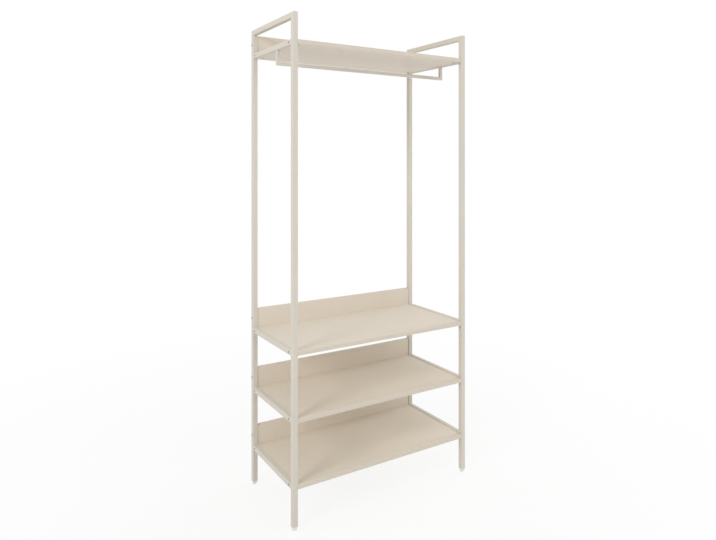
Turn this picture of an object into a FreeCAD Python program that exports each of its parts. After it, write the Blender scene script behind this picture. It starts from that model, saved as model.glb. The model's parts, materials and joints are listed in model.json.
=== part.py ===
import FreeCAD, Part
import math
import os

from FreeCAD import Rotation, Vector

# Open frame wardrobe: two end frames of square tube, four board shelves and a hanging rail.
# Millimetres. The origin lies on the floor in the middle of the footprint, +X is to the right,
# +Z is up, and the front faces -Y.

# Overall size, from the floor to the top of the end frames
overall_width = 800.0
overall_depth = 400.0
overall_height = 1850.0

# Square tube of the end frames
tube_side = 20.0
tube_wall = 1.5
tube_corner = 2.0

# Undersides of the cross rails: three measured from the floor, the top one down from the frame's top
lower_rail_height = 143.5
middle_rail_height = 379.5
upper_rail_height = 620.0
top_rail_drop = 115.5

# Boards of the shelves, and of the upstands that stand in a rebate along their rear edges
board_thickness = 16.0
board_arris = 1.0
upstand_rise = 77.0
rebate_depth = 2.0

# Clothes rail, a U of smaller square tube under the top cross rails
rail_side = 12.7
rail_wall = 1.2
rail_corner = 1.2
rail_drop = 56.0
rail_forward = 45.0
insert_length = 16.0

# Screws, and the insert nuts in the ends of the boards
screw_diameter = 5.0
screw_hole = 5.5
screw_head_diameter = 9.0
screw_head_height = 2.2
screw_head_rim = 0.7
screw_spare = 1.0
socket_across_flats = 3.0
socket_depth = 1.4
nut_diameter = 8.5
nut_length = 13.0
thread_clearance = 0.1
press_clearance = 0.1
shelf_screw_inset = 16.0
rail_screw_grip = 12.0

# Levelling feet and the plugs that hold them
foot_pad_diameter = 18.0
foot_pad_height = 10.5
foot_base_diameter = 11.0
foot_gap = 0.3
foot_stem_diameter = 8.0
foot_stem_grip = 22.0
plug_lip = 3.0
plug_length = 26.0
plug_clearance = 0.1
stem_clearance = 0.1

# Places that follow from the sizes above
cross_rail_heights = {
    "lower": lower_rail_height,
    "middle": middle_rail_height,
    "upper": upper_rail_height,
    "top": overall_height - top_rail_drop,
}
half_width = overall_width / 2
half_depth = overall_depth / 2
frame_centre = half_width - tube_side / 2
post_centre = half_depth - tube_side / 2
post_bottom = foot_pad_height + foot_gap + plug_lip
shelf_half_width = half_width - tube_side
shelf_screw_reach = half_depth - tube_side - shelf_screw_inset
upstand_centre = half_depth - board_thickness / 2
screw_grip = tube_side + nut_length + screw_spare
pocket_depth = nut_length + 2 * screw_spare

SIDES = {"left": -1, "right": 1}
ENDS = {"front": -1, "rear": 1}
X_AXIS = Vector(1, 0, 0)
Y_AXIS = Vector(0, 1, 0)
Z_AXIS = Vector(0, 0, 1)


def shelf_top(level):
    """Height of the shelf's surface: the board is centred on the cross rail beside it."""
    return level + (tube_side + board_thickness) / 2


def upstand_screw_height(level):
    """Height of the screws that hold an upstand, halfway up the part that shows."""
    return shelf_top(level) + upstand_rise / 2


def rounded_bar(side, corner, length):
    """Solid square bar along +Z from the origin, with its long edges rounded."""
    bar = Part.makeBox(side, side, length, Vector(-side / 2, -side / 2, 0))
    long_edges = [edge for edge in bar.Edges if edge.BoundBox.ZLength > length / 2]
    return bar.makeFillet(corner, long_edges)


def square_tube(side, wall, corner, length):
    """Hollow square tube along +Z from the origin."""
    inner_corner = max(corner - wall, 0.3)
    return rounded_bar(side, corner, length).cut(rounded_bar(side - 2 * wall, inner_corner, length))


def lay_along(shape, axis, start):
    """Turns a shape built along +Z to the given axis and moves its origin to the start point."""
    shape.Placement = FreeCAD.Placement(start, Rotation(Z_AXIS, axis)).multiply(shape.Placement)
    return shape


def hole_along(axis, centre, diameter, length):
    """Round cutter of the given length, centred on a point."""
    return Part.makeCylinder(diameter / 2, length, centre - axis * (length / 2), axis)


def wedge(corners, direction):
    """Three-cornered prism from a triangle of points, used to cut a mitre."""
    return Part.Face(Part.makePolygon(corners + corners[:1])).extrude(direction)


def post(side, end):
    """Upright with a mitred top, and in the rear ones a hole for each upstand screw."""
    x = SIDES[side] * frame_centre
    toward_front = ENDS[end]
    y = toward_front * post_centre
    tube = square_tube(tube_side, tube_wall, tube_corner, overall_height - post_bottom)
    tube.translate(Vector(x, y, post_bottom))
    outer = toward_front * half_depth
    inner = toward_front * (half_depth - tube_side)
    left_face = x - tube_side / 2
    tube = tube.cut(wedge([
        Vector(left_face, outer, overall_height),
        Vector(left_face, inner, overall_height),
        Vector(left_face, inner, overall_height - tube_side),
    ], X_AXIS * tube_side))
    if end == "rear":
        for level in cross_rail_heights.values():
            centre = Vector(x, upstand_centre, upstand_screw_height(level))
            tube = tube.cut(hole_along(X_AXIS, centre, screw_hole, tube_side + 2))
    return tube


def top_bar(side):
    """Bar across the top of an end frame, mitred to both posts."""
    x = SIDES[side] * frame_centre
    tube = square_tube(tube_side, tube_wall, tube_corner, overall_depth)
    tube = lay_along(tube, Y_AXIS, Vector(x, -half_depth, overall_height - tube_side / 2))
    left_face = x - tube_side / 2
    for toward in ENDS.values():
        tube = tube.cut(wedge([
            Vector(left_face, toward * half_depth, overall_height),
            Vector(left_face, toward * half_depth, overall_height - tube_side),
            Vector(left_face, toward * (half_depth - tube_side), overall_height - tube_side),
        ], X_AXIS * tube_side))
    return tube


def cross_rail(side, name):
    """Tube between the two posts of an end frame, drilled for the shelf screws."""
    level = cross_rail_heights[name]
    x = SIDES[side] * frame_centre
    z = level + tube_side / 2
    tube = square_tube(tube_side, tube_wall, tube_corner, overall_depth - 2 * tube_side)
    tube = lay_along(tube, Y_AXIS, Vector(x, tube_side - half_depth, z))
    for toward in ENDS.values():
        centre = Vector(x, toward * shelf_screw_reach, z)
        tube = tube.cut(hole_along(X_AXIS, centre, screw_hole, tube_side + 2))
    if name == "top":
        tube = tube.cut(hole_along(Z_AXIS, Vector(x, -rail_forward, z), screw_hole, tube_side + 2))
    return tube


def board(depth, height, centre, bottom):
    """Board from one end frame to the other, with its sharp edges taken off."""
    width = 2 * shelf_half_width
    plank = Part.makeBox(width, depth, height, Vector(-shelf_half_width, centre - depth / 2, bottom))
    return plank.makeFillet(board_arris, plank.Edges)


def bored(plank, places):
    """The board with a blind hole for an insert nut at each (y, z) place of both its ends."""
    radius = nut_diameter / 2 + press_clearance
    for toward in SIDES.values():
        for y, z in places:
            mouth = Vector(toward * (shelf_half_width + 1), y, z)
            plank = plank.cut(Part.makeCylinder(radius, pocket_depth + 1, mouth, X_AXIS * -toward))
    return plank


def shelf(name):
    """Shelf board, as deep as the end frames, rebated along the back for its upstand."""
    level = cross_rail_heights[name]
    plank = board(overall_depth, board_thickness, 0, shelf_top(level) - board_thickness)
    corner = Vector(-half_width, half_depth - board_thickness, shelf_top(level) - rebate_depth)
    plank = plank.cut(Part.makeBox(overall_width, board_thickness + 1, rebate_depth + 1, corner))
    return bored(plank, [(way * shelf_screw_reach, level + tube_side / 2) for way in ENDS.values()])


def upstand(name):
    """Board on edge along the back of a shelf, which keeps things from falling off behind."""
    level = cross_rail_heights[name]
    height = upstand_rise + rebate_depth
    plank = board(board_thickness, height, upstand_centre, shelf_top(level) - rebate_depth)
    return bored(plank, [(upstand_centre, upstand_screw_height(level))])


def turned(profile):
    """Solid of revolution about Z from a closed run of (radius, height) points."""
    points = [Vector(radius, 0, height) for radius, height in profile]
    outline = Part.makePolygon(points + points[:1])
    return Part.Face(outline).revolve(Vector(0, 0, 0), Z_AXIS, 360)


def screw(grip):
    """Button-head screw along -Z, with the underside of its head at the origin."""
    head = screw_head_diameter / 2
    shank = screw_diameter / 2
    dome = screw_head_height - screw_head_rim
    solid = turned([
        (0, -grip),
        (shank, -grip),
        (shank, 0),
        (head, 0),
        (head, screw_head_rim),
        (head - 0.3 * dome, screw_head_rim + 0.65 * dome),
        (head - dome, screw_head_height),
        (0, screw_head_height),
    ])
    corner = socket_across_flats / math.sqrt(3)
    floor = screw_head_height - socket_depth
    hexagon = []
    for turn in range(7):
        angle = math.radians(60 * turn)
        hexagon.append(Vector(corner * math.cos(angle), corner * math.sin(angle), floor))
    return solid.cut(Part.Face(Part.makePolygon(hexagon)).extrude(Z_AXIS * (2 * socket_depth)))


def insert_nut():
    """Insert nut along -Z, with the end that is flush with the board at the origin."""
    body = Part.makeCylinder(nut_diameter / 2, nut_length, Vector(0, 0, -nut_length))
    bore_radius = screw_diameter / 2 + thread_clearance
    bore = Part.makeCylinder(bore_radius, nut_length + 2, Vector(0, 0, -nut_length - 1))
    return body.cut(bore)


def shelf_points(toward):
    """Where the shelf screws of one side cross the outer face of its end frame."""
    return [Vector(toward * half_width, way * shelf_screw_reach, level + tube_side / 2)
            for level in cross_rail_heights.values() for way in ENDS.values()]


def upstand_points(toward):
    """Where the upstand screws of one side cross the outer face of its end frame."""
    return [Vector(toward * half_width, upstand_centre, upstand_screw_height(level))
            for level in cross_rail_heights.values()]


def fastener_group(points_of_side, make, depth):
    """One copy of a fastener at each point of both sides, at the given depth under the outer face."""
    copies = []
    for toward in SIDES.values():
        outward = X_AXIS * toward
        for point in points_of_side(toward):
            copies.append(lay_along(make(), outward, point - outward * depth))
    return Part.makeCompound(copies)


def rail_leg(side):
    """Upright of the clothes rail, from its mitred corner to the top cross rail."""
    x = SIDES[side] * frame_centre
    bottom = cross_rail_heights["top"] - rail_drop
    leg = square_tube(rail_side, rail_wall, rail_corner, rail_drop)
    leg.translate(Vector(x, -rail_forward, bottom))
    outer = SIDES[side] * (frame_centre + rail_side / 2)
    inner = SIDES[side] * (frame_centre - rail_side / 2)
    front = -rail_forward - rail_side / 2
    return leg.cut(wedge([
        Vector(outer, front, bottom),
        Vector(inner, front, bottom),
        Vector(inner, front, bottom + rail_side),
    ], Y_AXIS * rail_side))


def rail_bar():
    """Bar that the hangers hook over, mitred to both legs."""
    reach = frame_centre + rail_side / 2
    bottom = cross_rail_heights["top"] - rail_drop
    bar = square_tube(rail_side, rail_wall, rail_corner, 2 * reach)
    bar = lay_along(bar, X_AXIS, Vector(-reach, -rail_forward, bottom + rail_side / 2))
    front = -rail_forward - rail_side / 2
    for toward in SIDES.values():
        bar = bar.cut(wedge([
            Vector(toward * reach, front, bottom),
            Vector(toward * reach, front, bottom + rail_side),
            Vector(toward * (reach - rail_side), front, bottom + rail_side),
        ], Y_AXIS * rail_side))
    return bar


def rail_insert():
    """Threaded block pressed into the top of a rail leg, along -Z from the origin."""
    side = rail_side - 2 * rail_wall - 2 * plug_clearance
    block = rounded_bar(side, 0.3, insert_length)
    bore = Part.makeCylinder(screw_diameter / 2 + thread_clearance, insert_length + 2, Vector(0, 0, -1))
    block = block.cut(bore)
    block.translate(Z_AXIS * -insert_length)
    return block


def rail_points(height):
    """The two points over the rail legs at a height."""
    return [Vector(toward * frame_centre, -rail_forward, height) for toward in SIDES.values()]


def foot_plug():
    """Plug for a post's lower end: a lip as wide as the tube and a bored block inside it."""
    inside = tube_side - 2 * tube_wall - 2 * plug_clearance
    lip = rounded_bar(tube_side, tube_corner, plug_lip)
    lip.translate(Z_AXIS * -plug_lip)
    plug = lip.fuse(rounded_bar(inside, max(tube_corner - tube_wall, 0.3), plug_length)).removeSplitter()
    bore = foot_stem_diameter / 2 + stem_clearance
    return plug.cut(Part.makeCylinder(bore, plug_lip + plug_length + 2, Vector(0, 0, -plug_lip - 1)))


def levelling_foot():
    """Round pad with a domed underside on a screw stem, standing on the origin."""
    pad = foot_pad_diameter / 2
    base = foot_base_diameter / 2
    stem = foot_stem_diameter / 2
    stem_top = post_bottom + foot_stem_grip
    swell = pad - base
    return turned([
        (0, 0),
        (base, 0),
        (base + 0.6 * swell, 0.12 * foot_pad_height),
        (base + 0.9 * swell, 0.35 * foot_pad_height),
        (pad, 0.6 * foot_pad_height),
        (pad, foot_pad_height),
        (stem, foot_pad_height),
        (stem, stem_top),
        (0, stem_top),
    ])


def end_frame(side):
    """Nodes of one end frame: two posts, the top bar and a cross rail for each shelf."""
    nodes = {side + "_top_bar": top_bar(side)}
    for end in ENDS:
        nodes[side + "_" + end + "_post"] = post(side, end)
    for name in cross_rail_heights:
        nodes[side + "_" + name + "_cross_rail"] = cross_rail(side, name)
    return nodes


def feet():
    """A plug and a levelling foot under each post."""
    nodes = {}
    for side, across in SIDES.items():
        for end, along in ENDS.items():
            place = Vector(across * frame_centre, along * post_centre, 0)
            plug = foot_plug()
            plug.translate(place + Z_AXIS * post_bottom)
            foot = levelling_foot()
            foot.translate(place)
            nodes[side + "_" + end + "_foot_plug"] = plug
            nodes[side + "_" + end + "_levelling_foot"] = foot
    return nodes


def clothes_rail():
    """Bar, legs, inserts and screws of the clothes rail."""
    nodes = {"clothes_rail_bar": rail_bar()}
    for side in SIDES:
        nodes["clothes_rail_" + side + "_leg"] = rail_leg(side)
    level = cross_rail_heights["top"]
    inserts = [lay_along(rail_insert(), Z_AXIS, point) for point in rail_points(level)]
    screws = [lay_along(screw(tube_side + rail_screw_grip), Z_AXIS, point)
              for point in rail_points(level + tube_side)]
    nodes["clothes_rail_inserts"] = Part.makeCompound(inserts)
    nodes["clothes_rail_screws"] = Part.makeCompound(screws)
    return nodes


def fasteners():
    """Screws and insert nuts that hold the boards to the end frames."""
    return {
        "shelf_screws": fastener_group(shelf_points, lambda: screw(screw_grip), 0),
        "shelf_nuts": fastener_group(shelf_points, insert_nut, tube_side),
        "upstand_screws": fastener_group(upstand_points, lambda: screw(screw_grip), 0),
        "upstand_nuts": fastener_group(upstand_points, insert_nut, tube_side),
    }


def wardrobe():
    """Every node of the wardrobe by its name."""
    nodes = {}
    for side in SIDES:
        nodes.update(end_frame(side))
    for name in cross_rail_heights:
        nodes[name + "_shelf"] = shelf(name)
        nodes[name + "_upstand"] = upstand(name)
    nodes.update(clothes_rail())
    nodes.update(fasteners())
    nodes.update(feet())
    return nodes


os.makedirs("parts", exist_ok=True)
for node, shape in wardrobe().items():
    shape.exportStep("parts/" + node + ".step")
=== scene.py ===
import json
import math

import bmesh
import bpy
from mathutils import Matrix, Vector


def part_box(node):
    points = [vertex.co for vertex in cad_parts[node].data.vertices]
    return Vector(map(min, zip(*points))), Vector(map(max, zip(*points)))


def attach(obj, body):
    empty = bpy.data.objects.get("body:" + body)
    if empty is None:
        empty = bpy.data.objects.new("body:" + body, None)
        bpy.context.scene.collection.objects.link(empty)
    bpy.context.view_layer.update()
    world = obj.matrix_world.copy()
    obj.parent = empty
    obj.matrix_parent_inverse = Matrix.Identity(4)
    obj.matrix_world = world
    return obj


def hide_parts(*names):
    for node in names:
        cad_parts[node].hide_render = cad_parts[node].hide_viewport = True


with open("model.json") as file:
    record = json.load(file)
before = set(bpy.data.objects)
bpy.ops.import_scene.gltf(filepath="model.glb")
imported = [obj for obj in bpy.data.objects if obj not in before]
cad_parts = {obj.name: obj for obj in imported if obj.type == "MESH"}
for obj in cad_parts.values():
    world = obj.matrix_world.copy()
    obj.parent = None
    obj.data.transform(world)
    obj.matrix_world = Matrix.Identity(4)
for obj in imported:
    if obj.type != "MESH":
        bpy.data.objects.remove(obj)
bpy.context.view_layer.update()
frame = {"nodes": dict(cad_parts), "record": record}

# Photograph's frame in pixels, and the camera that was fitted to it, with its sensor in millimetres
IMAGE_WIDTH = 716
IMAGE_HEIGHT = 540
FOCAL_PIXELS = 615.56
PRINCIPAL_POINT = (376.16, 162.7)
SENSOR_WIDTH = 36.0
CAMERA_PLACE = (-1.3320, -2.1971, 1.3112)
CAMERA_PITCH = math.radians(90)
CAMERA_YAW = math.radians(-32.71)

# Studio light: the world, and square lamps as (place, side in metres, power in watts)
WORLD_COLOUR = (1.0, 0.99, 0.975)
WORLD_STRENGTH = 0.67
LAMP_TARGET = (0, 0, 0.8)
SOFTBOXES = {
    "left_softbox": ((-5.6, -2.4, 3.8), 2.0, 145),
    "right_softbox": ((6.2, 0.4, 2.4), 3.0, 178),
    "front_softbox": ((3.5, -5.5, 2.6), 3.0, 62),
}

# Floor: the share of plain white near the object, and the distances in metres over which it rises to 1
FLOOR_SIDE = 40.0
FLOOR_COLOUR = (0.85, 0.85, 0.85)
FLOOR_ROUGHNESS = 0.9
FLOOR_WHITE_SHARE = 0.85
FLOOR_FADE = (0.8, 2.6)

# Colours in linear light
FRAME_IVORY = (0.656, 0.615, 0.543)
BOARD_IVORY = (0.728, 0.661, 0.566)
RAW_FIBREBOARD = (0.27, 0.19, 0.12)
ZINC_SCREW = (0.42, 0.41, 0.39)
ZINC_BRIGHT = (0.60, 0.61, 0.63)
MOULDED_WHITE = (0.80, 0.80, 0.78)

# Finishes: shades are shares of the colour, and widths are in metres
MATT_SPECULAR = 0.35
COAT_EDGE_WIDTH = 0.0008
COAT_EDGE_SHADE = 0.86
LACQUER_EDGE_WIDTH = 0.0009
LACQUER_EDGE_SHADE = 0.80
# Painted shade on a board's narrow faces, as a share of the colour; it also stands for their thirstier
# lacquer
NARROW_FACE_PAINTED_SHADE = 0.90
SCREW_ROUGHNESS = 0.4
ZINC_ROUGHNESS = 0.32
POLISH_SPREAD = 0.06
PLATING_METALLIC = 0.9

# Values between which most noise lies
NOISE_SPAN = (0.3, 0.7)

# Cosines between the bevelled and the true normal, from an edge to a flat face
EDGE_SPAN = (0.86, 0.995)
EDGE_SAMPLES = 6

# Sizes of the normal's part along a board's thickness, from its narrow to its broad faces, over which the
# painted shade of the narrow faces fades out
BROAD_FACE_SPAN = (0.3, 0.9)

# Places of the fasteners, in metres as in the part's source
LEVELS = ("lower", "middle", "upper", "top")
SIDES = {"left": -1, "right": 1}
ENDS = {"front": -1, "rear": 1}
SHELF_SCREW_REACH = 0.164
UPSTAND_RISE = 0.077

# Button-head screw, in metres
BOARD_SCREW_LENGTH = 0.034
RAIL_SCREW_LENGTH = 0.032
HEAD_RADIUS = 0.0045
HEAD_HEIGHT = 0.0022
HEAD_RIM = 0.0006
HEAD_EDGE_BREAK = 0.0002
CROWN_RADIUS = 0.0028
CROWN_STEPS = 6
SOCKET_HALF_FLATS = 0.0015
SOCKET_DEPTH = 0.0014
SHANK_RADIUS = 0.0025
SCREW_TIP_RADIUS = 0.00175
SCREW_TIP_LENGTH = 0.0008
SCREW_SEGMENTS = 24

# Barrel nuts, which sit in blind bores under the shelves and behind the upstands, in metres
NUT_INSET = 0.017
BORE_RADIUS = 0.005
BORE_DEPTH = 0.013
BORE_OVERSHOOT = 0.001
NUT_RADIUS = 0.0049
NUT_LENGTH = 0.010
NUT_CHAMFER = 0.0004
NUT_SLOT_HALF_LENGTH = 0.0034
NUT_SLOT_DEPTH = 0.0014
NUT_SEGMENTS = 32

# Levelling foot, in metres, with heights from the floor
RECESS_RADIUS = 0.0032
RECESS_MOUTH_RADIUS = 0.0036
RECESS_DEPTH = 0.0006
PAD_RADIUS = 0.009
PAD_HEIGHT = 0.0105
HEEL_RADIUS = 0.0038
SHOULDER_WIDTH = 0.0017
SHOULDER_HEIGHT = 0.0015
FOOT_ARC_STEPS = 6
FLUTES = 12
FLUTE_DEPTH = 0.0008
FLUTE_BOTTOM = 0.0045
FLUTE_TOP = 0.0084
FLUTE_STEPS = 3
NECK_RADIUS = 0.0046
NECK_RISE = 0.0003
STEM_RADIUS = 0.004
STEM_TOP = 0.0358
STEM_TIP_RADIUS = 0.00296
STEM_TIP_LENGTH = 0.0008
THREAD_PITCH = 0.00125
THREAD_DEPTH = 0.00065
THREAD_STEP = 0.00025
THREAD_START_GAP = 0.0008
THREAD_END_GAP = 0.0012
FOOT_SEGMENTS = 48

# Weld beads in the corners between the posts and the cross rails, in metres
WELD_LEG = 0.0024
WELD_BULGE = 0.0004
WELD_HALF_LENGTH = 0.0078
WELD_TAPER_POWER = 4
WELD_END_SHARE = 0.02
WELD_RIPPLE = 0.00016
WELD_RIPPLE_PITCH = 0.0013
WELD_FACE_STEPS = 6
WELD_SECTIONS = 49

# Dressed seams that fill the groove between a post's round corner and a cross rail's end, in metres
SEAM_REACH = 0.0022
SEAM_LAP = 0.0014
SEAM_CROWN = 0.00012
SEAM_SWELL_SHARE = 0.35
SEAM_SWELLS = 9
SEAM_END_TRIM = 0.0006
SEAM_FACE_STEPS = 6
SEAM_SECTIONS = 25

# Angle over which an edge is shaded sharp, and distance in metres under which points are merged
SHARP_ANGLE = math.radians(35)
MERGE_DISTANCE = 1e-6


def make_material(name):
    """New node material, with its tree and its shader."""
    material = bpy.data.materials.new(name)
    material.use_nodes = True
    tree = material.node_tree
    return material, tree, tree.nodes["Principled BSDF"]


def add(tree, kind, **settings):
    """New node with its named inputs and properties set."""
    node = tree.nodes.new(kind)
    for name, value in settings.items():
        if name in node.inputs:
            node.inputs[name].default_value = value
        else:
            setattr(node, name, value)
    return node


def noise(tree, place, scale, detail=2.0):
    """Noise over the object's own coordinates, with the scale in cycles per metre."""
    node = add(tree, "ShaderNodeTexNoise", Scale=scale, Detail=detail)
    tree.links.new(place.outputs["Object"], node.inputs["Vector"])
    return node.outputs["Fac"]


def ranged(tree, value, low, high, span=NOISE_SPAN):
    """A value within a span stretched to run from low to high."""
    node = add(tree, "ShaderNodeMapRange")
    node.inputs["From Min"].default_value = span[0]
    node.inputs["From Max"].default_value = span[1]
    node.inputs["To Min"].default_value = low
    node.inputs["To Max"].default_value = high
    tree.links.new(value, node.inputs["Value"])
    return node.outputs["Result"]


def varied(tree, value, spread):
    """A noise value turned into a factor that varies about 1."""
    return ranged(tree, value, 1 - spread, 1 + spread)


def product(tree, first, second):
    """Two values multiplied."""
    node = add(tree, "ShaderNodeMath", operation="MULTIPLY")
    tree.links.new(first, node.inputs[0])
    tree.links.new(second, node.inputs[1])
    return node.outputs[0]


def edge_mask(tree, width):
    """Value that rises from 0 on a flat face to 1 along its edges."""
    bevel = add(tree, "ShaderNodeBevel", samples=EDGE_SAMPLES, Radius=width)
    geometry = add(tree, "ShaderNodeNewGeometry")
    agreement = add(tree, "ShaderNodeVectorMath", operation="DOT_PRODUCT")
    tree.links.new(bevel.outputs["Normal"], agreement.inputs[0])
    tree.links.new(geometry.outputs["Normal"], agreement.inputs[1])
    return ranged(tree, agreement.outputs["Value"], 1.0, 0.0, EDGE_SPAN)


def broad_face_mask(tree, axis):
    """Value that is 1 on a board's broad faces and 0 on its edges; axis is the broad faces' normal."""
    geometry = add(tree, "ShaderNodeNewGeometry")
    parts = add(tree, "ShaderNodeSeparateXYZ")
    tree.links.new(geometry.outputs["Normal"], parts.inputs[0])
    size = add(tree, "ShaderNodeMath", operation="ABSOLUTE")
    tree.links.new(parts.outputs[axis], size.inputs[0])
    return ranged(tree, size.outputs[0], 0.0, 1.0, BROAD_FACE_SPAN)


def shaded(tree, colour, factors):
    """A colour with its value multiplied by each factor in turn."""
    current = None
    for factor in factors:
        step = add(tree, "ShaderNodeHueSaturation", Color=(*colour, 1.0))
        if current is not None:
            tree.links.new(current, step.inputs["Color"])
        tree.links.new(factor, step.inputs["Value"])
        current = step.outputs["Color"]
    return current


def darkened(tree, paint, colour, shade, amount):
    """A paint mixed, by a value, towards a shade of its plain colour."""
    mix = add(tree, "ShaderNodeMix", data_type="RGBA")
    tree.links.new(amount, mix.inputs["Factor"])
    tree.links.new(paint, mix.inputs["A"])
    mix.inputs["B"].default_value = (*(shade * channel for channel in colour), 1.0)
    return mix.outputs["Result"]


def surface(tree, shader, colour, roughness):
    """Links a colour and a roughness to a shader."""
    tree.links.new(colour, shader.inputs["Base Color"])
    tree.links.new(roughness, shader.inputs["Roughness"])


def add_bump(tree, shader, height, strength, distance):
    """Lays a bump, with its distance in metres, over what a shader's normal has already."""
    bump = add(tree, "ShaderNodeBump", Strength=strength, Distance=distance)
    tree.links.new(height, bump.inputs["Height"])
    under = [link.from_socket for link in shader.inputs["Normal"].links]
    for normal in under:
        tree.links.new(normal, bump.inputs["Normal"])
    tree.links.new(bump.outputs["Normal"], shader.inputs["Normal"])


def powder_coat(name, colour):
    """Matt powder coat: orange peel, faint mottling and specks, and thinner paint on the edges."""
    material, tree, shader = make_material(name)
    place = add(tree, "ShaderNodeTexCoord")
    mottle = varied(tree, noise(tree, place, scale=7.0), spread=0.015)
    specks = varied(tree, noise(tree, place, scale=1100.0, detail=3.0), spread=0.02)
    patches = noise(tree, place, scale=90.0, detail=3.0)
    thinness = ranged(tree, patches, low=0.0, high=0.5, span=(0.42, 0.68))
    worn = product(tree, edge_mask(tree, COAT_EDGE_WIDTH), thinness)
    paint = darkened(tree, shaded(tree, colour, [mottle, specks]), colour, COAT_EDGE_SHADE, worn)
    roughness = ranged(tree, noise(tree, place, scale=40.0), low=0.54, high=0.64)
    surface(tree, shader, paint, roughness)
    shader.inputs["Specular IOR Level"].default_value = MATT_SPECULAR
    orange_peel = noise(tree, place, scale=620.0)
    add_bump(tree, shader, orange_peel, strength=0.30, distance=0.0005)
    grain = noise(tree, place, scale=2600.0)
    add_bump(tree, shader, grain, strength=0.12, distance=0.00015)
    return material


def lacquered_board(name, colour, axis):
    """Matt lacquer on fibreboard: a sprayed stipple, slight cloudiness, thirstier, greyer edges, and painted
    shade on the narrow faces, which also stands for their thirstier lacquer.
    """
    material, tree, shader = make_material(name)
    place = add(tree, "ShaderNodeTexCoord")
    cloud = varied(tree, noise(tree, place, scale=4.5, detail=3.0), spread=0.012)
    fibre = varied(tree, noise(tree, place, scale=420.0, detail=4.0), spread=0.015)
    # Painted shade: faces that point along the board, found from the normal, are darker as if less lit;
    # partly also thirstier lacquer
    narrow = ranged(tree, broad_face_mask(tree, axis), low=NARROW_FACE_PAINTED_SHADE, high=1.0, span=(0.0, 1.0))
    patches = noise(tree, place, scale=60.0, detail=3.0)
    dryness = ranged(tree, patches, low=0.1, high=0.6, span=(0.40, 0.70))
    dry = product(tree, edge_mask(tree, LACQUER_EDGE_WIDTH), dryness)
    paint = darkened(tree, shaded(tree, colour, [cloud, fibre, narrow]), colour, LACQUER_EDGE_SHADE, dry)
    roughness = ranged(tree, noise(tree, place, scale=25.0, detail=3.0), low=0.50, high=0.60)
    surface(tree, shader, paint, roughness)
    shader.inputs["Specular IOR Level"].default_value = MATT_SPECULAR
    stipple = noise(tree, place, scale=300.0)
    add_bump(tree, shader, stipple, strength=0.24, distance=0.0005)
    grain = noise(tree, place, scale=1500.0, detail=3.0)
    add_bump(tree, shader, grain, strength=0.15, distance=0.0002)
    return material


def raw_fibreboard(name, colour):
    """Bare fibreboard inside a bore, with its fibres torn by the drill."""
    material, tree, shader = make_material(name)
    place = add(tree, "ShaderNodeTexCoord")
    fibre = varied(tree, noise(tree, place, scale=1500.0, detail=4.0), spread=0.25)
    roughness = ranged(tree, noise(tree, place, scale=600.0), low=0.80, high=0.95)
    surface(tree, shader, shaded(tree, colour, [fibre]), roughness)
    torn = noise(tree, place, scale=2200.0, detail=3.0)
    add_bump(tree, shader, torn, strength=0.4, distance=0.0003)
    return material


def plated(name, colour, roughness):
    """Plated steel with a little streaking."""
    material, tree, shader = make_material(name)
    place = add(tree, "ShaderNodeTexCoord")
    streaks = varied(tree, noise(tree, place, scale=300.0, detail=4.0), spread=0.15)
    patches = noise(tree, place, scale=800.0)
    polish = ranged(tree, patches, low=roughness - POLISH_SPREAD, high=roughness + POLISH_SPREAD)
    surface(tree, shader, shaded(tree, colour, [streaks]), polish)
    shader.inputs["Metallic"].default_value = PLATING_METALLIC
    return material


def moulded(name, colour):
    """Moulded plastic with a fine spark-eroded grain."""
    material, tree, shader = make_material(name)
    place = add(tree, "ShaderNodeTexCoord")
    flow = varied(tree, noise(tree, place, scale=120.0), spread=0.03)
    roughness = ranged(tree, noise(tree, place, scale=500.0), low=0.42, high=0.52)
    surface(tree, shader, shaded(tree, colour, [flow]), roughness)
    grain = noise(tree, place, scale=1800.0)
    add_bump(tree, shader, grain, strength=0.12, distance=0.0003)
    return material


def make_materials():
    """A finished material for each slot of the record, and for upright boards and bare board."""
    return {
        "frame_paint": powder_coat("frame_powder_coat", FRAME_IVORY),
        "board_lacquer": lacquered_board("shelf_lacquer", BOARD_IVORY, "Z"),
        "upstand": lacquered_board("upstand_lacquer", BOARD_IVORY, "Y"),
        "bare_board": raw_fibreboard("raw_fibreboard", RAW_FIBREBOARD),
        "plated_screws": plated("screw_plating", ZINC_SCREW, SCREW_ROUGHNESS),
        "zinc_steel": plated("zinc_plating", ZINC_BRIGHT, ZINC_ROUGHNESS),
        "plug_plastic": moulded("plug_plastic", MOULDED_WHITE),
        "foot_plastic": moulded("foot_plastic", MOULDED_WHITE),
    }


def dress_nodes(materials):
    """The slot's material on every CAD node."""
    slots = {row["node"]: row["material_slot"] for row in frame["record"]["subparts"]}
    for name, node in frame["nodes"].items():
        node.data.materials.clear()
        node.data.materials.append(materials[slots[name]])


def finish_piece(name, mesh_data, body, slot, *materials):
    """Turns a bmesh into a smooth-shaded piece, with the materials of its faces, that rides on a body."""
    bmesh.ops.recalc_face_normals(mesh_data, faces=mesh_data.faces)
    piece = plain_object(name, mesh_data)
    piece.data.shade_smooth()
    piece.data.set_sharp_from_angle(angle=SHARP_ANGLE)
    for material in materials:
        piece.data.materials.append(material)
    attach(piece, body)
    return piece


def plain_object(name, mesh_data):
    """Turns a bmesh into an object."""
    mesh = bpy.data.meshes.new(name)
    mesh_data.to_mesh(mesh)
    mesh_data.free()
    new = bpy.data.objects.new(name, mesh)
    bpy.context.scene.collection.objects.link(new)
    return new


def loft(mesh_data, rings):
    """Closed surface through rings of points, from a cap on the first to a cap on the last."""
    loops = [[mesh_data.verts.new(point) for point in points] for points in rings]
    for lower, upper in zip(loops, loops[1:]):
        for here in range(len(lower)):
            after = (here + 1) % len(lower)
            mesh_data.faces.new((lower[here], lower[after], upper[after], upper[here]))
    mesh_data.faces.new(loops[0])
    mesh_data.faces.new(loops[-1])


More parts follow.
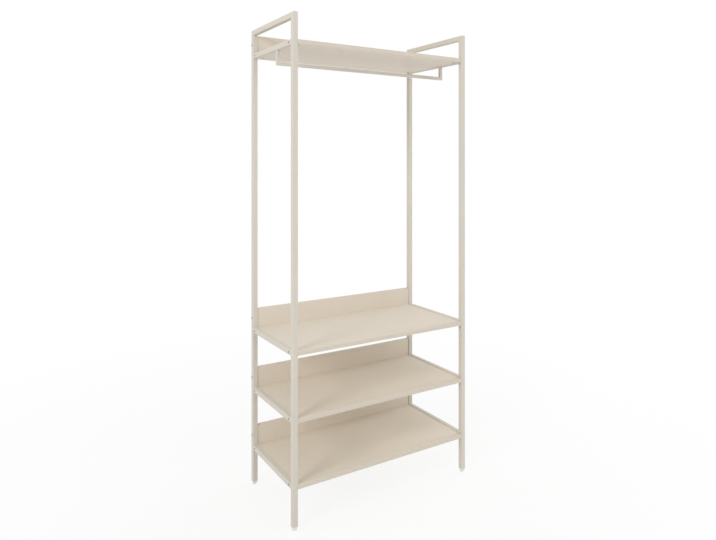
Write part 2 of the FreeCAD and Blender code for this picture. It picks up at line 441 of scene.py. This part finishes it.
def turned(place, rings):
    """Rings made round the Z axis, carried to a (point, outward direction) place."""
    point, outward = place
    pose = Matrix.Translation(point) @ Vector(outward).to_track_quat("Z", "Y").to_matrix().to_4x4()
    return [[pose @ corner for corner in points] for points in rings]


def ring(segments, height, radius_at):
    """Points round the Z axis at a height, with the radius given for each angle."""
    points = []
    for step in range(segments):
        angle = 2 * math.pi * step / segments
        radius = radius_at(angle)
        points.append(Vector((radius * math.cos(angle), radius * math.sin(angle), height)))
    return points


def round_rings(segments, profile):
    """A plain round ring for each (radius, height) point of a profile."""
    return [ring(segments, height, lambda angle: radius) for radius, height in profile]


def hexagon_ring(segments, half_flats, height):
    """Ring on the outline of a hexagon."""
    sixth = math.pi / 3

    def radius_at(angle):
        return half_flats / math.cos((angle + sixth / 2) % sixth - sixth / 2)
    return ring(segments, height, radius_at)


def arc(centre, reach, start, steps):
    """Profile of (radius, height) points on a quarter of an ellipse, from a start angle in degrees."""
    points = []
    for step in range(steps + 1):
        turn = math.radians(start + 90 * step / steps)
        points.append((centre[0] + reach[0] * math.cos(turn), centre[1] + reach[1] * math.sin(turn)))
    return points


def rail_box(side, level):
    """Lowest and highest corners of a cross rail."""
    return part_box(side + "_" + level + "_cross_rail")


def outer_face(box, across):
    """Where the outer face of a piece of an end frame lies along X."""
    low, high = box
    return low[0] if across < 0 else high[0]


def shelf_screw_places():
    """Where the shelf screws' heads sit on the cross rails."""
    places = []
    for side, across in SIDES.items():
        for level in LEVELS:
            low, high = rail_box(side, level)
            outer = outer_face((low, high), across)
            for along in ENDS.values():
                point = Vector((outer, along * SHELF_SCREW_REACH, (low[2] + high[2]) / 2))
                places.append((point, (across, 0, 0)))
    return places


def upstand_screw_places():
    """Where the upstand screws' heads sit on the rear posts."""
    places = []
    for side, across in SIDES.items():
        outer = outer_face(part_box(side + "_rear_post"), across)
        for level in LEVELS:
            low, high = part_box(level + "_upstand")
            point = Vector((outer, (low[1] + high[1]) / 2, high[2] - UPSTAND_RISE / 2))
            places.append((point, (across, 0, 0)))
    return places


def rail_screw_places():
    """Where the clothes rail's screws sit on the top cross rails, over its legs."""
    places = []
    for side in SIDES:
        low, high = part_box("clothes_rail_" + side + "_leg")
        rail_top = rail_box(side, "top")[1][2]
        point = Vector(((low[0] + high[0]) / 2, (low[1] + high[1]) / 2, rail_top))
        places.append((point, (0, 0, 1)))
    return places


def screw_rings(length):
    """Rings of a button-head screw along -Z, from its tip to the floor of its socket."""
    crown_reach = (HEAD_RADIUS - CROWN_RADIUS, HEAD_HEIGHT - HEAD_RIM)
    profile = [
        (SCREW_TIP_RADIUS, -length),
        (SHANK_RADIUS, SCREW_TIP_LENGTH - length),
        (SHANK_RADIUS, 0.0),
        (HEAD_RADIUS - HEAD_EDGE_BREAK, 0.0),
        (HEAD_RADIUS, HEAD_EDGE_BREAK),
        *arc((CROWN_RADIUS, HEAD_RIM), crown_reach, start=0, steps=CROWN_STEPS),
    ]
    socket = [
        (SOCKET_HALF_FLATS + HEAD_EDGE_BREAK, HEAD_HEIGHT),
        (SOCKET_HALF_FLATS, HEAD_HEIGHT - HEAD_EDGE_BREAK),
        (SOCKET_HALF_FLATS, HEAD_HEIGHT - SOCKET_DEPTH),
    ]
    rings = round_rings(SCREW_SEGMENTS, profile)
    return rings + [hexagon_ring(SCREW_SEGMENTS, half_flats, height) for half_flats, height in socket]


def make_screws(materials):
    """Button-head screws in place of the plain ones."""
    for kind, places, length in (
        ("shelf", shelf_screw_places(), BOARD_SCREW_LENGTH),
        ("upstand", upstand_screw_places(), BOARD_SCREW_LENGTH),
        ("clothes_rail", rail_screw_places(), RAIL_SCREW_LENGTH),
    ):
        mesh_data = bmesh.new()
        for place in places:
            loft(mesh_data, turned(place, screw_rings(length)))
        piece = finish_piece(kind + "_button_screws", mesh_data, "frame", "plated_screws",
                             materials["plated_screws"])
        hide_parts(kind + "_screws")


def shelf_nut_places(level):
    """Where a shelf's bores open in its underside, with the direction out of them."""
    low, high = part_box(level + "_shelf")
    return [(Vector((x, along * SHELF_SCREW_REACH, low[2])), (0, 0, -1))
            for x in (low[0] + NUT_INSET, high[0] - NUT_INSET) for along in ENDS.values()]


def upstand_nut_places(level):
    """Where an upstand's bores open in its rear face, with the direction out of them."""
    low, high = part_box(level + "_upstand")
    return [(Vector((x, high[1], high[2] - UPSTAND_RISE / 2)), (0, 1, 0))
            for x in (low[0] + NUT_INSET, high[0] - NUT_INSET)]


def bore_rings():
    """Rings of the plug that cuts a nut's blind bore, from its floor to just outside the board."""
    return round_rings(NUT_SEGMENTS, [(BORE_RADIUS, -BORE_DEPTH), (BORE_RADIUS, BORE_OVERSHOOT)])


def bored_board(node, places, lacquer, bare):
    """A board with the blind bores of its barrel nuts, in place of the plain one."""
    blank_data = bmesh.new()
    blank_data.from_mesh(frame["nodes"][node].data)
    bmesh.ops.remove_doubles(blank_data, verts=blank_data.verts, dist=MERGE_DISTANCE)
    blank = plain_object("blank", blank_data)
    blank.data.materials.append(lacquer)
    cutter_data = bmesh.new()
    for place in places:
        loft(cutter_data, turned(place, bore_rings()))
    bmesh.ops.recalc_face_normals(cutter_data, faces=cutter_data.faces)
    cutter = plain_object("cutter", cutter_data)
    cutter.data.materials.append(bare)
    bores = blank.modifiers.new("bores", "BOOLEAN")
    bores.object = cutter
    bores.operation = "DIFFERENCE"
    bores.solver = "EXACT"
    bores.material_mode = "TRANSFER"
    cut_mesh = bpy.data.meshes.new_from_object(blank.evaluated_get(bpy.context.evaluated_depsgraph_get()))
    board_data = bmesh.new()
    board_data.from_mesh(cut_mesh)
    board = finish_piece("bored_" + node, board_data, "frame", "board_lacquer", lacquer, bare)
    board.modifiers.new("flat_faces", "WEIGHTED_NORMAL").keep_sharp = True
    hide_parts(node)
    for helper in (blank, cutter):
        bpy.data.objects.remove(helper)


def make_boards(materials):
    """Bored shelves and upstands."""
    bare = materials["bare_board"]
    for level in LEVELS:
        bored_board(level + "_shelf", shelf_nut_places(level), materials["board_lacquer"], bare)
        bored_board(level + "_upstand", upstand_nut_places(level), materials["upstand"], bare)


def slot_ring(half_length, height):
    """Ring on the outline of a narrow slot, with its corners on the ring's own points."""
    half_width = half_length * math.tan(2 * math.pi / NUT_SEGMENTS)

    def radius_at(angle):
        along = abs(math.cos(angle))
        across = abs(math.sin(angle))
        return half_length / along if along * half_width > across * half_length else half_width / across
    return ring(NUT_SEGMENTS, height, radius_at)


def nut_rings():
    """Rings of a barrel nut along -Z, from the end on the bore's floor to the bottom of its slot."""
    end = NUT_LENGTH - BORE_DEPTH
    rings = round_rings(NUT_SEGMENTS, [
        (NUT_RADIUS - NUT_CHAMFER, -BORE_DEPTH),
        (NUT_RADIUS, NUT_CHAMFER - BORE_DEPTH),
        (NUT_RADIUS, end - NUT_CHAMFER),
        (NUT_RADIUS - NUT_CHAMFER, end),
    ])
    return rings + [slot_ring(NUT_SLOT_HALF_LENGTH, height) for height in (end, end - NUT_SLOT_DEPTH)]


def make_nuts(materials):
    """Barrel nuts in place of the plain ones."""
    for kind, places_at in (("shelf", shelf_nut_places), ("upstand", upstand_nut_places)):
        mesh_data = bmesh.new()
        for level in LEVELS:
            for place in places_at(level):
                loft(mesh_data, turned(place, nut_rings()))
        piece = finish_piece(kind + "_barrel_nuts", mesh_data, "frame", "zinc_steel", materials["zinc_steel"])
        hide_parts(kind + "_nuts")


def fluted(angle):
    """Radius of the foot's grip at an angle."""
    return PAD_RADIUS - FLUTE_DEPTH * (0.5 - 0.5 * math.cos(FLUTES * angle))


def threaded(height):
    """Radius of the foot's stem, as a function of the angle at a height."""
    def radius_at(angle):
        turn = (height / THREAD_PITCH - angle / (2 * math.pi)) % 1.0
        return STEM_RADIUS - THREAD_DEPTH * abs(2 * turn - 1)
    return radius_at


def pad_rings():
    """Rings of a foot's pad, from the recess in its underside to the root of its stem."""
    heel_centre = (PAD_RADIUS - HEEL_RADIUS, HEEL_RADIUS)
    shoulder_centre = (PAD_RADIUS - SHOULDER_WIDTH, PAD_HEIGHT - SHOULDER_HEIGHT)
    underside = [
        (RECESS_RADIUS, RECESS_DEPTH),
        (RECESS_MOUTH_RADIUS, 0.0),
        *arc(heel_centre, (HEEL_RADIUS, HEEL_RADIUS), start=-90, steps=FOOT_ARC_STEPS),
    ]
    topside = [
        *arc(shoulder_centre, (SHOULDER_WIDTH, SHOULDER_HEIGHT), start=0, steps=FOOT_ARC_STEPS),
        (NECK_RADIUS, PAD_HEIGHT),
        (STEM_RADIUS - THREAD_DEPTH, PAD_HEIGHT + NECK_RISE),
    ]
    rings = round_rings(FOOT_SEGMENTS, underside)
    for step in range(FLUTE_STEPS + 1):
        height = FLUTE_BOTTOM + (FLUTE_TOP - FLUTE_BOTTOM) * step / FLUTE_STEPS
        rings.append(ring(FOOT_SEGMENTS, height, fluted))
    return rings + round_rings(FOOT_SEGMENTS, topside)


def stem_rings():
    """Rings of a foot's threaded stem and its tip."""
    rings = []
    start = PAD_HEIGHT + THREAD_START_GAP
    end = STEM_TOP - THREAD_END_GAP
    for step in range(int((end - start) / THREAD_STEP) + 1):
        height = start + step * THREAD_STEP
        rings.append(ring(FOOT_SEGMENTS, height, threaded(height)))
    tip = [(STEM_RADIUS - THREAD_DEPTH, STEM_TOP - STEM_TIP_LENGTH), (STEM_TIP_RADIUS, STEM_TOP)]
    return rings + round_rings(FOOT_SEGMENTS, tip)


def make_feet(materials):
    """A fluted foot with a threaded stem in place of each plain one."""
    for side in SIDES:
        for end in ENDS:
            corner = side + "_" + end
            node = corner + "_levelling_foot"
            low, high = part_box(node)
            place = Vector(((low[0] + high[0]) / 2, (low[1] + high[1]) / 2, low[2]))
            mesh_data = bmesh.new()
            loft(mesh_data, [[place + point for point in points] for points in pad_rings() + stem_rings()])
            piece = finish_piece(corner + "_fluted_foot", mesh_data, corner + "_foot", "foot_plastic",
                                 materials["foot_plastic"])
            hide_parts(node)


def weld_section(offset):
    """Outline of a weld bead in the corner of two faces at a distance from its middle."""
    along = offset / WELD_HALF_LENGTH
    size = math.sqrt(max(1 - along ** WELD_TAPER_POWER, WELD_END_SHARE))
    ripple = WELD_RIPPLE * abs(math.sin(math.pi * offset / WELD_RIPPLE_PITCH))
    leg = WELD_LEG * size
    outline = [(0.0, 0.0)]
    for step in range(WELD_FACE_STEPS + 1):
        share = step / WELD_FACE_STEPS
        swell = math.sin(math.pi * share) * (WELD_BULGE * size - ripple) / math.sqrt(2)
        outline.append((leg * (1 - share) + swell, leg * share + swell))
    return outline


def weld_rings(middle, face, end, height, upward):
    """Rings of one weld bead over or under the end of a cross rail."""
    rings = []
    for step in range(WELD_SECTIONS):
        offset = WELD_HALF_LENGTH * (2 * step / (WELD_SECTIONS - 1) - 1)
        rings.append([Vector((middle + offset, face - end * out, height + upward * rise))
                      for out, rise in weld_section(offset)])
    return rings


def seam_section(swell):
    """Outline of a dressed seam as (rise from the outer face, reach towards the post) points."""
    lapped = [(0.0, -SEAM_LAP)]
    for step in range(1, SEAM_FACE_STEPS):
        share = step / SEAM_FACE_STEPS
        rise = SEAM_CROWN * swell * math.sin(math.pi * share)
        lapped.append((rise, share * (SEAM_REACH + SEAM_LAP) - SEAM_LAP))
    return lapped + [(0.0, SEAM_REACH), (-SEAM_REACH, 0.0)]


def seam_rings(outer, across, face, end, bottom, top):
    """Rings of one dressed seam up the outer face of a frame."""
    rings = []
    for step in range(SEAM_SECTIONS):
        share = step / (SEAM_SECTIONS - 1)
        swell = 1 + SEAM_SWELL_SHARE * math.sin(SEAM_SWELLS * math.pi * share)
        height = bottom + SEAM_END_TRIM + share * (top - bottom - 2 * SEAM_END_TRIM)
        rings.append([Vector((outer + across * rise, face + end * reach, height))
                      for rise, reach in seam_section(swell)])
    return rings


def make_welds(materials):
    """Painted beads over and under the ends of the cross rails, and dressed seams outside them."""
    for side, across in SIDES.items():
        mesh_data = bmesh.new()
        for level in LEVELS:
            low, high = rail_box(side, level)
            middle = (low[0] + high[0]) / 2
            outer = outer_face((low, high), across)
            for end in ENDS.values():
                face = low[1] if end < 0 else high[1]
                loft(mesh_data, seam_rings(outer, across, face, end, low[2], high[2]))
                loft(mesh_data, weld_rings(middle, face, end, high[2], 1))
                loft(mesh_data, weld_rings(middle, face, end, low[2], -1))
        finish_piece(side + "_frame_welds", mesh_data, "frame", "frame_paint", materials["frame_paint"])


def white_to_camera(tree, lit, share=None):
    """Mixes white over a shader, by a share, for camera, glossy and transmission rays."""
    path = add(tree, "ShaderNodeLightPath")
    seen = add(tree, "ShaderNodeMath", operation="MAXIMUM")
    tree.links.new(path.outputs["Is Camera Ray"], seen.inputs[0])
    tree.links.new(path.outputs["Is Glossy Ray"], seen.inputs[1])
    any_seen = add(tree, "ShaderNodeMath", operation="MAXIMUM")
    tree.links.new(seen.outputs[0], any_seen.inputs[0])
    tree.links.new(path.outputs["Is Transmission Ray"], any_seen.inputs[1])
    part = any_seen.outputs[0] if share is None else product(tree, any_seen.outputs[0], share)
    white = add(tree, "ShaderNodeEmission", Strength=1.0)
    mix = add(tree, "ShaderNodeMixShader")
    tree.links.new(part, mix.inputs["Fac"])
    tree.links.new(lit, mix.inputs[1])
    tree.links.new(white.outputs[0], mix.inputs[2])
    return mix.outputs[0]


def make_floor():
    """Pale floor that keeps the object's shadow and turns plain white away from it."""
    bpy.ops.mesh.primitive_plane_add(size=FLOOR_SIDE)
    floor = bpy.context.object
    floor.name = "floor"
    material, tree, shader = make_material("pale_floor")
    shader.inputs["Base Color"].default_value = (*FLOOR_COLOUR, 1.0)
    shader.inputs["Roughness"].default_value = FLOOR_ROUGHNESS
    place = add(tree, "ShaderNodeTexCoord")
    distance = add(tree, "ShaderNodeVectorMath", operation="LENGTH")
    tree.links.new(place.outputs["Object"], distance.inputs[0])
    share = ranged(tree, distance.outputs["Value"], FLOOR_WHITE_SHARE, 1.0, FLOOR_FADE)
    output = tree.nodes["Material Output"]
    tree.links.new(white_to_camera(tree, shader.outputs[0], share), output.inputs["Surface"])
    floor.data.materials.append(material)


def make_world():
    """Even studio light, white where the camera looks past the object."""
    world = bpy.data.worlds.new("studio")
    bpy.context.scene.world = world
    world.use_nodes = True
    tree = world.node_tree
    sky = tree.nodes["Background"]
    sky.inputs["Color"].default_value = (*WORLD_COLOUR, 1.0)
    sky.inputs["Strength"].default_value = WORLD_STRENGTH
    output = tree.nodes["World Output"]
    tree.links.new(white_to_camera(tree, sky.outputs[0]), output.inputs["Surface"])


def make_lamps():
    """Square area lights aimed at the object."""
    for name, (place, side, power) in SOFTBOXES.items():
        light = bpy.data.lights.new(name, "AREA")
        light.shape = "SQUARE"
        light.size = side
        light.energy = power
        lamp = bpy.data.objects.new(name, light)
        lamp.location = place
        lamp.rotation_euler = (Vector(LAMP_TARGET) - Vector(place)).to_track_quat("-Z", "Y").to_euler()
        lamp.visible_camera = False
        bpy.context.scene.collection.objects.link(lamp)


def make_camera():
    """Camera at the photograph's viewing point, with its shift for the photograph's framing."""
    data = bpy.data.cameras.new("camera")
    data.sensor_width = SENSOR_WIDTH
    data.lens = FOCAL_PIXELS * SENSOR_WIDTH / IMAGE_WIDTH
    data.shift_x = (IMAGE_WIDTH / 2 - PRINCIPAL_POINT[0]) / IMAGE_WIDTH
    data.shift_y = (PRINCIPAL_POINT[1] - IMAGE_HEIGHT / 2) / IMAGE_WIDTH
    camera = bpy.data.objects.new("camera", data)
    camera.location = CAMERA_PLACE
    camera.rotation_euler = (CAMERA_PITCH, 0, CAMERA_YAW)
    bpy.context.scene.collection.objects.link(camera)
    bpy.context.scene.camera = camera


finishes = make_materials()
dress_nodes(finishes)
make_screws(finishes)
make_boards(finishes)
make_nuts(finishes)
make_feet(finishes)
make_welds(finishes)
make_floor()
make_world()
make_lamps()
make_camera()
bpy.context.scene.view_settings.view_transform = "Standard"
